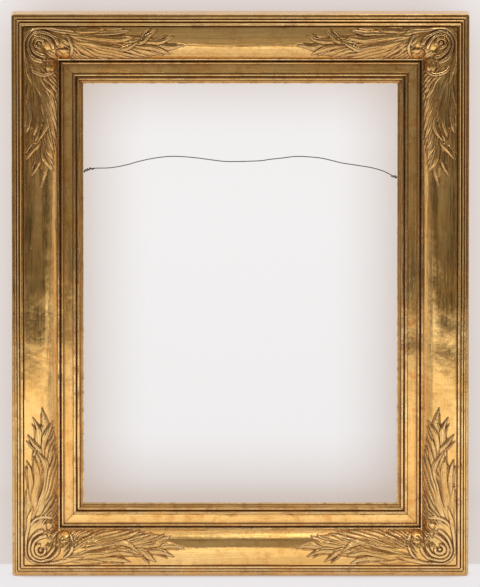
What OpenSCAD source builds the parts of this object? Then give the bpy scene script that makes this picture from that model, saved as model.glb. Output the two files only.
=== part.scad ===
// A gilded picture frame with a convex panel that turns down inward, carved corners
// and a stepped inner liner. It stands upright with its face toward -Y.

/* [Picture opening] */
// Width of the picture that the rabbet takes
picture_w = 457; // [300:1:700]
// Height of the picture that the rabbet takes
picture_h = 614; // [420:1:900]
// How far the sight edge covers the picture
picture_cover = 6.5; // [4:0.5:8]

/* [Outer rails] */
// Width of the outer rail on its face
rail_w = 67.5; // [64:0.5:76]
// Height of the plain outer side, from the back
side_h = 36; // [33:0.5:40]
// Height of the panel at its outer edge
panel_high = 46; // [43:0.5:50]
// Height of the panel at its inner edge
panel_low = 26; // [24:0.5:29]
// Width of the three reeds and the lip outside the panel
border_w = 17.4; // [15:0.2:18.5]
// How late the panel turns down: 1 is a straight slope
panel_bend = 3.2; // [2:0.1:4]
// Radius of the worn outer arrises
arris_r = 2; // [1:0.25:3]
// Radius of the frame's four outer corners, seen from the front
corner_r = 4; // [1:0.5:8]

/* [Liner] */
// Width of the liner on its face, past the rail
liner_face_w = 34.1; // [32:0.1:40]
// How far the rail laps over the liner
liner_lap = 7.5; // [5:0.5:9]
// Height of the rabbet that the liner sits in
liner_seat_h = 20; // [18:0.5:21]
// Distance of the liner's back from the frame's back
liner_back = 3; // [2:0.5:5]
// Height of the ledge that the picture rests on
ledge_h = 10; // [8:0.5:12]
// Width of the dark quirk between rail and liner
quirk_w = 2; // [1:0.1:2.5]
// Clearance all round the liner in its rabbet
liner_gap = 0.4; // [0.2:0.1:1]

/* [Corner keys] */
// Length of a key across the mitre
key_l = 44; // [30:1:50]
// Width of a key at its ends
key_end_w = 18; // [14:1:22]
// Width of a key at its waist
key_waist_w = 11; // [8:1:13]
// Thickness of a key
key_t = 5; // [3:0.5:8]
// Clearance round a key
key_gap = 0.25; // [0.1:0.05:0.5]

/* [Carving] */
// Depth that the carved relief is bedded in the panel
relief_bed = 0.6; // [0.4:0.1:1]
// Height of the tallest leaves
leaf_h = 3.4; // [2:0.1:4]
// Height of the scroll's ridges
ridge_h = 2.9; // [2:0.1:3.5]
// Radius of the eye at the middle of the scroll
eye_boss_r = 3.2; // [2.5:0.1:4]
// Radius of the round buds beside the scroll
bud_r = 8.4; // [6:0.2:9]

/* [Hanging hardware] */
// Height of the screw eyes above the floor
eye_z = 545; // [350:1:600]
// Distance of the screw eyes from the frame's outer side
eye_inset = 40; // [25:1:50]
// Middle radius of a screw eye's ring
eye_ring_r = 5; // [4.5:0.1:6]
// Thickness of a screw eye's wire
eye_wire_d = 2.5; // [2:0.1:3]
// Depth that a screw eye is driven in
eye_shank_l = 14; // [10:1:20]
// Thickness of the hanging wire
wire_d = 1.5; // [1.2:0.1:1.8]
// Turns of each wrapped wire end
wrap_turns = 15; // [8:1:18]
// Thickness of a brad
brad_d = 1.6; // [1.2:0.1:2]
// Length of a brad
brad_l = 24; // [18:1:30]
// Brads along each short side of the liner
brads_short = 3; // [2:1:5]
// Brads along each long side of the liner
brads_long = 4; // [3:1:6]

/* [Hidden] */
$fn = 48;

gold = [0.86, 0.66, 0.33];
gold_deep = [0.74, 0.53, 0.25];
wood = [0.55, 0.38, 0.22];
steel = [0.42, 0.42, 0.43];
cut = 1;

frame_w = picture_w + 2 * (rail_w + liner_face_w - picture_cover);
frame_h = picture_h + 2 * (rail_w + liner_face_w - picture_cover);
sight_d = rail_w + liner_face_w;
panel_w = rail_w - border_w;
eye_ring_t = -(eye_ring_r + eye_wire_d / 2 + 2.25);
eye_out = eye_ring_r + eye_wire_d / 2 - eye_ring_t;
relief_front = 2.58;
front_h = panel_high + relief_front;
back_y = (front_h - eye_out) / 2;

// Points of a half round from one place to another, bulging to the left
function bow(x0, y0, x1, y1, rise, n = 6) =
    let (dx = x1 - x0, dy = y1 - y0, len = sqrt(dx * dx + dy * dy))
    [for (i = [0 : n])
        let (s = i / n, b = 4 * rise * s * (1 - s))
        [x0 + dx * s - dy / len * b, y0 + dy * s + dx / len * b]];

// The panel's surface height at a distance in from the frame's outer side
function panel_share(d) = (d - border_w) / (panel_w - arris_r);
function panel_at(d) =
    panel_high + (panel_low - panel_high) * pow(min(max(panel_share(d), 0), 1), panel_bend);

// Steps of the border, as shares of its width
lip_d = 0.24 * border_w;
reed_1 = 0.4 * border_w;
reed_2 = 0.63 * border_w;
reed_3 = 0.92 * border_w;
step_h = (panel_high - side_h) / 3;

panel_steps = 14;
rail_rabbet_d = rail_w - liner_lap;
rail_profile = concat(
    [[0, 0], [rail_rabbet_d, 0], [rail_rabbet_d, liner_seat_h], [rail_w, liner_seat_h]],
    bow(rail_w, panel_low - arris_r, rail_w - arris_r, panel_low, -arris_r / 5, 3),
    [for (i = [panel_steps - 1 : -1 : 1]) let (d = border_w + (panel_w - arris_r) * i / panel_steps)
        [d, panel_at(d)]],
    [[border_w, panel_high - 1.4]],
    bow(reed_3, panel_high - 2, reed_2 + 0.4, panel_high - 2.4, -1.9),
    bow(reed_2 - 0.3, side_h + 2 * step_h - 2.2, reed_1 + 0.4, side_h + 2 * step_h - 2.8, -1.5),
    bow(reed_1 - 0.3, side_h + step_h - 1.8, lip_d + 0.4, side_h + step_h - 2.2, -1.1),
    [[lip_d, side_h - 0.4]],
    bow(lip_d - 0.6, side_h + 0.2, 0, side_h - arris_r, -0.9)
);

// Steps of the liner's face, measured in from the rail's inner edge
bead_d = rail_w + quirk_w;
bead_w = 3.6;
cove_d = bead_d + bead_w + 0.4;
fillet_d = sight_d - 15.4;
band_d = sight_d - 10.6;
slope_d = sight_d - 5.4;
bead_h = liner_seat_h + 5.2;
cove_h = liner_seat_h + 0.8;
liner_profile = concat(
    [[rail_rabbet_d + liner_gap, liner_back], [sight_d - picture_cover, liner_back],
     [sight_d - picture_cover, ledge_h], [sight_d - 0.6, ledge_h], [sight_d, ledge_h + 0.6]],
    bow(sight_d, ledge_h + 5, sight_d - 1.2, ledge_h + 6.3, -0.3, 3),
    bow(slope_d, cove_h - 1.8, band_d + 0.6, cove_h - 1.8, -1.7),
    [[band_d, cove_h - 2.4]],
    bow(band_d - 0.5, cove_h - 0.4, fillet_d, cove_h, -0.8, 4),
    bow(fillet_d - 0.4, cove_h - 0.6, cove_d, bead_h - 1.8, 1.3),
    bow(bead_d + bead_w, bead_h - 1.6, bead_d, bead_h - 2, -1.7),
    [[bead_d, liner_seat_h - liner_gap], [rail_rabbet_d + liner_gap, liner_seat_h - liner_gap]]
);

// Stands the frame up: flat work, face up, becomes upright with its face toward -Y
module stand() {
    translate([0, back_y, 0]) rotate([90, 0, 0]) children();
}

// One straight length of moulding along X with both ends mitred
module mitred(profile, inner_d, length, outer_d = 0) {
    intersection() {
        translate([-length / 2, 0, 0]) rotate([90, 0, 90]) linear_extrude(length) polygon(profile);
        translate([0, 0, -cut]) linear_extrude(front_h + 2 * cut)
            polygon([[outer_d - length / 2, outer_d], [length / 2 - outer_d, outer_d],
                     [length / 2 - inner_d, inner_d], [inner_d - length / 2, inner_d]]);
    }
}

// Turns a bottom side into one of the four sides: 0 bottom, 1 right, 2 top, 3 left
module on_side(side) {
    reach = side % 2 == 0 ? frame_h / 2 : frame_w / 2;
    translate([0, frame_h / 2, 0]) rotate([0, 0, 90 * side]) translate([0, -reach, 0]) children();
}
function side_len(side) = side % 2 == 0 ? frame_w : frame_h;

// Moves work drawn round the lower left outer corner to one of the four corners
module on_corner(right, top) {
    translate([0, frame_h / 2, 0]) mirror([right, 0, 0]) mirror([0, top, 0])
        translate([-frame_w / 2, -frame_h / 2, 0]) children();
}

module key_shape(grow) {
    end_w = key_end_w / 2 + grow;
    waist = key_waist_w / 2 + grow;
    reach = key_l / 2 + grow;
    polygon([[-reach, -end_w], [0, -waist], [reach, -end_w], [reach, end_w], [0, waist], [-reach, end_w]]);
}

// The key lies across the mitre, in the middle of the rail's back
module key_place() {
    translate([rail_rabbet_d / 2, rail_rabbet_d / 2, 0]) rotate([0, 0, -45]) children();
}

// Where the brads stand along a side, measured from its middle
function brad_places(side) =
    let (n = side % 2 == 0 ? brads_short : brads_long, span = side_len(side) - 2 * sight_d)
    [for (i = [0 : n - 1]) span * ((i + 0.5) / n - 0.5)];
brad_t = liner_back - brad_d / 2;
brad_showing = 0.375 * brad_l;

module brads_on(side, grow = 0) {
    on_side(side) for (x = brad_places(side))
        translate([x, rail_rabbet_d + liner_gap + brad_showing, brad_t]) rotate([90, 0, 0])
            cylinder(d = brad_d + grow, h = brad_l);
}

module eye_place(side) {
    translate([side * (frame_w / 2 - eye_inset), eye_z, 0]) children();
}

// The frame's outline with its corners worn round
module outline_block() {
    translate([0, frame_h / 2, -cut]) linear_extrude(front_h + 2 * cut) {
        square([frame_w - 2 * corner_r, frame_h], center = true);
        square([frame_w, frame_h - 2 * corner_r], center = true);
        for (x = [-1, 1], y = [-1, 1])
            translate([x * (frame_w / 2 - corner_r), y * (frame_h / 2 - corner_r)]) circle(corner_r);
    }
}

module outer_rail(side) {
    color(gold) stand() difference() {
        intersection() {
            on_side(side) mitred(rail_profile, rail_w, side_len(side));
            outline_block();
        }
        for (right = [0, 1], top = [0, 1]) on_corner(right, top) key_place()
            translate([0, 0, -cut]) linear_extrude(key_t + cut) key_shape(key_gap);
        brads_on(side);
        if (side == 1) eye_place(1) cylinder(d = eye_wire_d, h = eye_shank_l);
        if (side == 3) eye_place(-1) cylinder(d = eye_wire_d, h = eye_shank_l);
    }
}

module liner_rail(side) {
    color(gold_deep) stand() on_side(side)
        mitred(liner_profile, sight_d, side_len(side), rail_rabbet_d + liner_gap);
}

module corner_key(right, top) {
    color(wood) stand() on_corner(right, top) key_place() linear_extrude(key_t) key_shape(0);
}

module liner_brads() {
    color(steel) stand() for (side = [0 : 3]) brads_on(side);
}

module screw_eye(side) {
    color(steel) stand() eye_place(side) {
        cylinder(d = eye_wire_d, h = eye_shank_l);
        translate([0, 0, eye_ring_t]) rotate([0, 90, 0]) rotate_extrude()
            translate([eye_ring_r, 0]) circle(d = eye_wire_d);
        translate([0, 0, eye_ring_t + eye_ring_r]) cylinder(d = eye_wire_d, h = -eye_ring_t - eye_ring_r);
    }
}

// Smooth curve through control points of any length
function spline_at(p, i, s) =
    let (n = len(p) - 1, a = p[max(i - 1, 0)], b = p[i], c = p[min(i + 1, n)], d = p[min(i + 2, n)])
    0.5 * (2 * b + (c - a) * s + (2 * a - 5 * b + 4 * c - d) * s * s + (3 * b - a - 3 * c + d) * s * s * s);
function spline(p, steps) = [for (i = [0 : len(p) - 2], k = [0 : steps - 1]) spline_at(p, i, k / steps), p[len(p) - 1]];

// Side faces and caps of a tube made of rings with the same number of points
function tube_faces(rings, sides) = concat(
    [for (i = [0 : rings - 2], j = [0 : sides - 1])
        [i * sides + j, i * sides + (j + 1) % sides, (i + 1) * sides + (j + 1) % sides]],
    [for (i = [0 : rings - 2], j = [0 : sides - 1])
        [i * sides + j, (i + 1) * sides + (j + 1) % sides, (i + 1) * sides + j]],
    [for (j = [1 : sides - 2]) [0, j + 1, j]],
    [for (j = [1 : sides - 2]) [(rings - 1) * sides, (rings - 1) * sides + j, (rings - 1) * sides + j + 1]]
);

// Across a stroke: place as a share of its half width, height as a share of its own
stroke_section = [[-1, 0], [-0.6, 0.72], [0, 1], [0.6, 0.72], [1, 0]];

// One carved stroke. Each control point is [along, across, half width, height]
module stroke(controls, steps = 2) {
    path = spline(controls, steps);
    last = len(path) - 1;
    points = [for (i = [0 : last])
        let (a = path[max(i - 1, 0)], b = path[min(i + 1, last)], p = path[i],
             len_ab = norm([b[0] - a[0], b[1] - a[1]]), nx = -(b[1] - a[1]) / len_ab, ny = (b[0] - a[0]) / len_ab)
        each [for (q = stroke_section)
            let (x = p[0] + nx * q[0] * p[2], y = p[1] + ny * q[0] * p[2])
            [x, y, panel_at(min(x, y)) + (q[1] == 0 ? -relief_bed : q[1] * p[3])]]];
    polyhedron(points, tube_faces(last + 1, len(stroke_section)));
}

// A round boss that rises from the panel
module boss(x, y, r, h, sides = 14) {
    levels = [[1, 0], [0.92, 0.45], [0.68, 0.8], [0.36, 0.97], [0.05, 1]];
    points = [for (q = levels, j = [0 : sides - 1])
        let (a = -360 * j / sides, px = x + r * q[0] * cos(a), py = y + r * q[0] * sin(a))
        [px, py, panel_at(min(px, py)) + (q[1] == 0 ? -relief_bed : q[1] * h)]];
    polyhedron(points, tube_faces(len(levels), sides));
}

// Places on the carving are measured from the frame's outer corner. The panel's own
// width scales them, so that the carving keeps its pattern on a wider or narrower panel.
across_ref = 50.1;
border_ref = 17.4;
carving_scale = panel_w / across_ref;
function across(v) = border_w + (v - border_ref) * carving_scale;
leaf_ref = 3.4;
function placed(points, height = 1) =
    [for (p = points) [across(p[0]), across(p[1]), p[2] * carving_scale, p[3] * height]];

// The leaves of one spray, from the scroll outwards: [along, across, half width, height]
leaves = [
    [[96, 30, 4, 1.2], [150, 37, 5, 2.2], [201, 42, 5.2, 2.8], [222, 46, 5, 3.2], [243.5, 42.6, 0.5, 1.2]],
    [[100, 27, 4, 1.2], [160, 34, 4.5, 2.2], [193, 37, 5, 2.6], [212, 37, 4, 2.9], [229, 29.5, 0.5, 1]],
    [[150, 40, 4, 1.6], [196, 46, 4.4, 2.6], [207, 49, 4.6, 2.8], [216, 53.5, 3.4, 2.6], [223.5, 58.2, 0.5, 1]],
    [[145, 43, 4, 1.6], [186, 52, 4.2, 2.4], [199, 56.4, 3, 2.4], [208.5, 58.2, 0.5, 1]],
    [[135, 43, 4, 1.6], [166, 51.5, 3.6, 2.4], [183, 56.5, 2.8, 2.4], [196.2, 61.5, 0.5, 1]],
    [[140, 33, 4, 1.6], [180, 38, 4, 2.8], [192, 30.5, 3.8, 2.9], [204.2, 21.6, 0.5, 1]],
    [[96, 25, 4, 1.4], [136, 26.3, 3.8, 2.4], [156, 24, 2.8, 2.4], [167.6, 20.8, 0.5, 1]],
    [[100, 29, 4, 1.4], [143, 34.8, 4.6, 2.6], [162, 33.4, 4, 2.8], [173.2, 32, 0.6, 1.2]],
    [[92, 36, 4, 1.4], [122, 45, 4.6, 2.8], [148, 49.7, 4.4, 3.2], [165, 46, 4, 3.4], [181.5, 35.5, 0.6, 1.4]],
    [[110, 46, 3.5, 1.4], [150, 54.7, 3.4, 2.2], [168, 59, 2.6, 2.2], [181, 64, 0.5, 1]],
    [[104, 47, 3.5, 1.4], [139, 57, 3, 2.2], [158, 61.5, 2.4, 2.2], [170, 64.4, 0.5, 1]],
    [[96, 47, 3.5, 1.4], [122, 57.5, 3, 2.2], [143, 62.6, 2.2, 2], [157, 64.6, 0.5, 1]],
    [[86, 22.5, 3.6, 1.2], [112, 22.6, 3, 2], [134, 21, 0.5, 1]],
    [[76, 36, 3.2, 1.4], [92, 45, 3.2, 2.2], [108, 55, 2.8, 2.2], [122, 63.4, 0.5, 1]],
    [[72, 34, 3.2, 1.4], [84, 43, 3, 2.2], [96, 54, 2.6, 2.2], [106, 63.6, 0.5, 1]],
    [[70, 24, 4, 2], [96, 28, 7, 2.2], [122, 32, 8, 1.9], [150, 38, 9, 1.6], [178, 43, 6, 1.2]]
];

// The scroll's ridges on one side of the mitre, measured from the outer corner
scroll_c = 39.5;
ring_radii = [6.4, 11.6, 16.3, 20.6];
function ring_arc(r, from, to, half_w, h, n) =
    [for (i = [0 : n]) let (a = from + (to - from) * i / n)
        [scroll_c + r * cos(a), scroll_c + r * sin(a), half_w, h]];
mitre_dir = 225;
ridge_halves = [
    concat(ring_arc(ring_radii[1], mitre_dir, 165, 1.9, 2.5, 3),
        [[32, 50, 2.1, 2.6], [37, 54.5, 2.5, 2.7], [43, 58, 3, 2.8], [48.6, 60, 1.2, 1.6]]),
    concat(ring_arc(ring_radii[2], mitre_dir, 165, 1.9, 2.6, 3),
        [[27, 54, 2.2, 2.7], [31.5, 60.5, 2.7, 2.8], [37, 65, 3.2, 2.9], [43, 67, 1.2, 1.6]]),
    concat(ring_arc(ring_radii[3], mitre_dir, 180, 1.5, 2.2, 3),
        [[19.6, 52, 1.9, 2.3], [21.4, 66, 2.6, 2.5], [24.5, 82, 3.6, 2.4], [28, 98, 4, 1.6]])
];
bud_x = 56;
bud_y = 73.5;
bud_curl = [
    [25.5, 71, 1.6, 1.6], [31.5, 79.5, 2.4, 2.6], [40, 84.5, 2.8, 2.9], [50, 85.4, 2.8, 2.9],
    [58.6, 82, 2.6, 2.9], [62.4, 74.5, 2.5, 2.9], [59.4, 67, 2.4, 2.9], [52.6, 65.4, 2.2, 2.8],
    [49.4, 70.6, 1.8, 2.6], [53, 74.6, 1.4, 2.4]
];

// A ridge runs from its end on one arm, round the scroll, to its end on the other arm
function whole_ridge(half) = concat(
    [for (i = [len(half) - 1 : -1 : 1]) [half[i][1], half[i][0], half[i][2], half[i][3]]], half);

module scroll(right, top) {
    color(gold) stand() on_corner(right, top) {
        stroke(placed(ring_arc(ring_radii[0], 70, 372, 2, 2.1, 10)), 1);
        for (half = ridge_halves) stroke(placed(whole_ridge(half)));
        for (swap = [0, 1]) mirror([swap, -swap, 0]) {
            stroke(placed(bud_curl));
            boss(across(bud_x), across(bud_y), bud_r, ridge_h);
        }
        boss(across(scroll_c), across(scroll_c), eye_boss_r, ridge_h);
        stroke(placed([[50, 50.4, 2, 1.6], [57, 57.2, 3.4, 2.4], [64.6, 64.4, 0.6, 1]]));
    }
}

module spray(right, top, along_side) {
    color(gold) stand() on_corner(right, top) mirror([along_side, -along_side, 0])
        for (leaf = leaves) stroke(placed(leaf, leaf_h / leaf_ref));
}

// The wire's route between its two wrapped ends, arched up as the last hook left it.
// Each point is [across from the middle, height above the screw eyes]
wire_route = [
    [-271, 7], [-262, 11], [-250, 16], [-236, 23], [-222, 29], [-210, 33], [-184, 34], [-162, 38],
    [-144, 43], [-126, 47], [-104, 50], [-84, 50], [-61, 48], [-39, 45], [-21, 43], [0, 43],
    [28, 44], [42, 46], [60, 48], [76, 50], [90, 50], [113, 48], [131, 44], [143, 41],
    [162, 38], [186, 34], [203, 29], [217, 22], [230, 18], [245, 14], [258, 10.5], [271, 7]
];
wire_sides = 8;
wire_path = spline([for (p = wire_route) [p[0], p[1], 0]], 2);

// Rings square to a path, each turned as little as may be from the one before
function square_to(n, u) = let (m = n - (n * u) * u) m / norm(m);
function along(path, i) =
    let (t = path[min(i + 1, len(path) - 1)] - path[max(i - 1, 0)]) t / norm(t);
function tube_points(path, d, sides) =
    [for (i = 0, n = square_to([0, 0, 1], along(path, 0)); i < len(path);
          i = i + 1, n = i < len(path) ? square_to(n, along(path, i)) : n)
        let (b = cross(along(path, i), n))
        each [for (j = [0 : sides - 1]) let (a = 360 * j / sides) path[i] + d / 2 * (cos(a) * n + sin(a) * b)]];

// Least gap between parts of a tube that are more than a turn's quarter apart
function least_gap(path, d, apart) =
    min([for (i = [0 : len(path) - 1 - apart], j = [i + apart : len(path) - 1]) norm(path[i] - path[j])]) - d;

module wire_place() {
    stand() translate([0, eye_z, eye_ring_t]) children();
}

module hanging_wire() {
    color(steel) wire_place()
        polyhedron(tube_points(wire_path, wire_d, wire_sides), tube_faces(len(wire_path), wire_sides));
}

// A wrapped end goes on from the wire, round the top of the eye's ring, and winds back
// over the wire. It is drawn for the left side, and the right side is its mirror image.
eye_x = frame_w / 2 - eye_inset;
wire_end = [wire_route[0][0], wire_route[0][1], 0];
loop_r = eye_wire_d / 2 + wire_d / 2 + 0.7;
coil_r = wire_d + 0.1;
curl_rings = 8;
wrap_sides = 6;
wrap_start = 0.35;
loop_top = [-eye_x, eye_ring_r + loop_r, 0];
loop_path = spline([
    wire_end, wire_end - [wire_d, 0, 0], wire_end - [6, -0.2, 0], loop_top,
    [-eye_x - loop_r, eye_ring_r, 0], [-eye_x, eye_ring_r - loop_r, 0], [-eye_x + 4, 3.2, 0], [-eye_x + 9, 4.3, 0]
], 2);

function wrap_coil(route, turns, reach) =
    [for (i = [0 : turns * curl_rings])
        let (u = wrap_start + (reach - wrap_start) * i / (turns * curl_rings), k = min(floor(u), reach - 1),
             c = spline_at(route, k, u - k), e = spline_at(route, k, u - k + 0.01) - c,
             t = e / norm(e), a = -90 + 360 * i / curl_rings, r = coil_r)
        c + r * (sin(a) * [-t[1], t[0], 0] + cos(a) * [0, 0, 1])];
function wrap_path(route, turns, reach) =
    let (coil = wrap_coil(route, turns, reach), last = coil[len(coil) - 1])
    concat(loop_path, coil, [last + [wire_d, 0.6, 0.4], last + [2 * wire_d, 1.4, 0.8]]);

left_route = [for (p = wire_route) [p[0], p[1], 0]];
right_route = [for (i = [len(wire_route) - 1 : -1 : 0]) [-wire_route[i][0], wire_route[i][1], 0]];
wrap_left_path = wrap_path(left_route, wrap_turns, 5);
wrap_right_path = wrap_path(right_route, wrap_turns, 4);
echo(least_gap_left = least_gap(wrap_left_path, wire_d, curl_rings / 2));
echo(least_gap_right = least_gap(wrap_right_path, wire_d, curl_rings / 2));

module wire_wrap(side) {
    path = side < 0 ? wrap_left_path : wrap_right_path;
    color(steel) wire_place() mirror([side < 0 ? 0 : 1, 0, 0])
        polyhedron(tube_points(path, wire_d, wrap_sides), tube_faces(len(path), wrap_sides));
}

outer_rail(0);  // rail_bottom
outer_rail(1);  // rail_right
outer_rail(2);  // rail_top
outer_rail(3);  // rail_left
liner_rail(0);  // liner_bottom
liner_rail(1);  // liner_right
liner_rail(2);  // liner_top
liner_rail(3);  // liner_left
corner_key(0, 0);  // corner_key_bl
corner_key(1, 0);  // corner_key_br
corner_key(0, 1);  // corner_key_tl
corner_key(1, 1);  // corner_key_tr
scroll(0, 0);  // scroll_bl
scroll(1, 0);  // scroll_br
scroll(0, 1);  // scroll_tl
scroll(1, 1);  // scroll_tr
spray(0, 0, 0);  // spray_bl_bottom
spray(0, 0, 1);  // spray_bl_side
spray(1, 0, 0);  // spray_br_bottom
spray(1, 0, 1);  // spray_br_side
spray(0, 1, 0);  // spray_tl_top
spray(0, 1, 1);  // spray_tl_side
spray(1, 1, 0);  // spray_tr_top
spray(1, 1, 1);  // spray_tr_side
liner_brads();
screw_eye(-1);  // screw_eye_left
screw_eye(1);  // screw_eye_right
hanging_wire();
wire_wrap(-1);  // wire_wrap_left
wire_wrap(1);  // wire_wrap_right
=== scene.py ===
import math

import bpy
import numpy as np
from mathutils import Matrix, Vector


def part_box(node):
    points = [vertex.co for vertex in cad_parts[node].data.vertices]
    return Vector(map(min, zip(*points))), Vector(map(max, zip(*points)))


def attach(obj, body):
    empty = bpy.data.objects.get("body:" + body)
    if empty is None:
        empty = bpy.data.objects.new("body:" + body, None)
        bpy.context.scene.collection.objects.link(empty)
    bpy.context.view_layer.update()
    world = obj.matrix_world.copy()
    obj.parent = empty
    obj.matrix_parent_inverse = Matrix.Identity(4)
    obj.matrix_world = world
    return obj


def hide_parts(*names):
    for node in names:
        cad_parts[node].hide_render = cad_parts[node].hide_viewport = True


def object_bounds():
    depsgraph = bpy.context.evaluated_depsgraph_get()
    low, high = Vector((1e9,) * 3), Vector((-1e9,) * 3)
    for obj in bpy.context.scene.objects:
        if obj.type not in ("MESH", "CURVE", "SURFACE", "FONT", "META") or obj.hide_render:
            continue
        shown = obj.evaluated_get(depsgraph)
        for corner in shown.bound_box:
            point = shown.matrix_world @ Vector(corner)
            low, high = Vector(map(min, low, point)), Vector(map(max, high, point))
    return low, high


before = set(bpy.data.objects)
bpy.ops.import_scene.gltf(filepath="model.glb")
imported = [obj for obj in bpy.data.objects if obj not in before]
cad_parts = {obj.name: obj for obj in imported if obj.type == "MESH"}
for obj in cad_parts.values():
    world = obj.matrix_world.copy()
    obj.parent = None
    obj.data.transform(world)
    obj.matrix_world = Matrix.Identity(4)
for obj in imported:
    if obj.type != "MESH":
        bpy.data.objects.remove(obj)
cad_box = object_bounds()
MM = 0.001

# Sizes in millimetres. d is a distance in from the frame's outer side, and t a height off its back
LO, HI = cad_box
FRAME_W = (HI.x - LO.x) / MM
FRAME_H = (HI.z - LO.z) / MM
BACK_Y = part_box("rail_top")[1].y / MM

# The rails: reeded border, side, the panel that turns down inward, rounded edges, and the liner's seat
RAIL_W = 67.5
BORDER_W = 17.4
SIDE_H = 36.0
PANEL_HIGH = 46.0
PANEL_LOW = 26.0
PANEL_BEND = 4.0
ARRIS_R = 2.0
PANEL_END = RAIL_W - ARRIS_R
CORNER_R = 4.0
RABBET_D = 60.0
SEAT_H = 20.0

# The liner: the width that shows, how far it covers a picture, its back, its ledge, and its play in the rails
LINER_FACE_W = 34.1
SIGHT_D = RAIL_W + LINER_FACE_W
PICTURE_COVER = 6.5
LINER_BACK = 3.0
LEDGE_H = 10.0
LINER_GAP = 0.4

# The screw eyes and the wire
EYE_INSET = 40.0
EYE_Z = 545.0
EYE_T = -8.5
EYE_RING_R = 5.0
EYE_WIRE_D = 2.5
WIRE_D = 1.5


# Camera

def make_camera():
    """A long lens, looking down at the frame a little, as the photograph does."""
    distance = 20.0
    pitch = math.radians(8.6)
    seen_width = 0.6802
    picture_w, picture_h = 480, 587
    aim = Vector((-0.0005, 0.0, FRAME_H * MM / 2 + 0.0005))
    data = bpy.data.cameras.new("camera")
    data.sensor_width = 36.0
    data.lens = data.sensor_width * distance / (seen_width * (picture_h / picture_w))
    data.clip_start = 0.5
    data.clip_end = 100.0
    cam = bpy.data.objects.new("camera", data)
    bpy.context.scene.collection.objects.link(cam)
    back = Vector((0.0, -math.cos(pitch), math.sin(pitch)))
    cam.location = aim + back * distance
    cam.rotation_mode = "QUATERNION"
    cam.rotation_quaternion = (-back).to_track_quat("-Z", "Y")
    bpy.context.scene.camera = cam


make_camera()


# Nodes and materials

class Nodes:
    """Short calls for building the node tree of a material or a world."""

    def __init__(self, owner):
        owner.use_nodes = True
        self.owner = owner
        self.tree = owner.node_tree
        self.tree.nodes.clear()

    def add(self, kind, **settings):
        node = self.tree.nodes.new(kind)
        for key, value in settings.items():
            setattr(node, key, value)
        return node

    def link(self, a, b):
        self.tree.links.new(a, b)

    def put(self, socket, value):
        if isinstance(value, bpy.types.NodeSocket):
            self.link(value, socket)
        else:
            socket.default_value = value

    def place(self, scale=(1, 1, 1)):
        """A place on the object, in metres, with each axis scaled."""
        coord = self.add("ShaderNodeTexCoord")
        mapping = self.add("ShaderNodeMapping")
        self.link(coord.outputs["Object"], mapping.inputs["Vector"])
        mapping.inputs["Scale"].default_value = scale
        return mapping.outputs["Vector"]

    def noise(self, where, scale, detail=3.0, rough=0.55, distortion=0.0):
        node = self.add("ShaderNodeTexNoise")
        self.link(where, node.inputs["Vector"])
        node.inputs["Scale"].default_value = scale
        node.inputs["Detail"].default_value = detail
        node.inputs["Roughness"].default_value = rough
        node.inputs["Distortion"].default_value = distortion
        return node.outputs["Fac"]

    def cell_edge(self, where, scale):
        """Distance to the nearest edge of irregular cells."""
        node = self.add("ShaderNodeTexVoronoi", feature="DISTANCE_TO_EDGE")
        self.link(where, node.inputs["Vector"])
        node.inputs["Scale"].default_value = scale
        return node.outputs["Distance"]

    def ramp(self, value, stops):
        node = self.add("ShaderNodeValToRGB")
        self.link(value, node.inputs["Fac"])
        ramp = node.color_ramp
        while len(ramp.elements) < len(stops):
            ramp.elements.new(0.5)
        for element, (at, colour) in zip(ramp.elements, stops):
            element.position = at
            element.color = (*colour, 1)
        return node.outputs["Color"]

    def span(self, value, a, b, c=0.0, d=1.0):
        """A value carried from the range a to b onto the range c to d, and held at its ends."""
        node = self.add("ShaderNodeMapRange", clamp=True)
        self.link(value, node.inputs["Value"])
        for key, number in zip(("From Min", "From Max", "To Min", "To Max"), (a, b, c, d)):
            node.inputs[key].default_value = number
        return node.outputs["Result"]

    def mix(self, factor, a, b, mode="MIX"):
        node = self.add("ShaderNodeMix", data_type="RGBA", blend_type=mode)
        self.put(node.inputs["Factor"], factor)
        for socket, value in ((node.inputs[6], a), (node.inputs[7], b)):
            self.put(socket, (*value, 1) if isinstance(value, tuple) else value)
        return node.outputs[2]

    def math(self, kind, a, b=0.0):
        node = self.add("ShaderNodeMath", operation=kind)
        self.put(node.inputs[0], a)
        self.put(node.inputs[1], b)
        return node.outputs[0]

    def attribute(self, name):
        return self.add("ShaderNodeAttribute", attribute_name=name).outputs["Fac"]

    def bump(self, height, strength, distance, normal=None):
        node = self.add("ShaderNodeBump")
        self.link(height, node.inputs["Height"])
        node.inputs["Strength"].default_value = strength
        node.inputs["Distance"].default_value = distance
        if normal is not None:
            self.link(normal, node.inputs["Normal"])
        return node.outputs["Normal"]

    def finish(self, colour, rough, normal, metallic=0.0):
        shader = self.add("ShaderNodeBsdfPrincipled")
        self.put(shader.inputs["Base Color"], colour)
        self.put(shader.inputs["Roughness"], rough)
        self.put(shader.inputs["Metallic"], metallic)
        self.link(normal, shader.inputs["Normal"])
        out = self.add("ShaderNodeOutputMaterial")
        self.link(shader.outputs["BSDF"], out.inputs["Surface"])
        return self.owner


def srgb(red, green, blue):
    """A colour given as it looks on screen, 0 to 255, as the linear values that the nodes take."""
    def linear(v):
        v = v / 255
        return v / 12.92 if v <= 0.04045 else ((v + 0.055) / 1.055) ** 2.4
    return linear(red), linear(green), linear(blue)


# The pale gold of the painted highlight on worn tops and ridges
GOLD_PALE_HIGHLIGHT = srgb(255, 232, 178)
GOLD_LIGHT = srgb(251, 208, 134)
GOLD_MID = srgb(242, 190, 110)
GOLD_WARM = srgb(226, 158, 84)
GOLD_DEEP = srgb(196, 118, 54)
BOLE = srgb(122, 58, 28)
# Dark patina, which also serves as painted shade in the hollows
PATINA_AND_SHADE = srgb(88, 48, 18)
LEAF_SHEET = 0.08
STRETCH = 0.06


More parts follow.
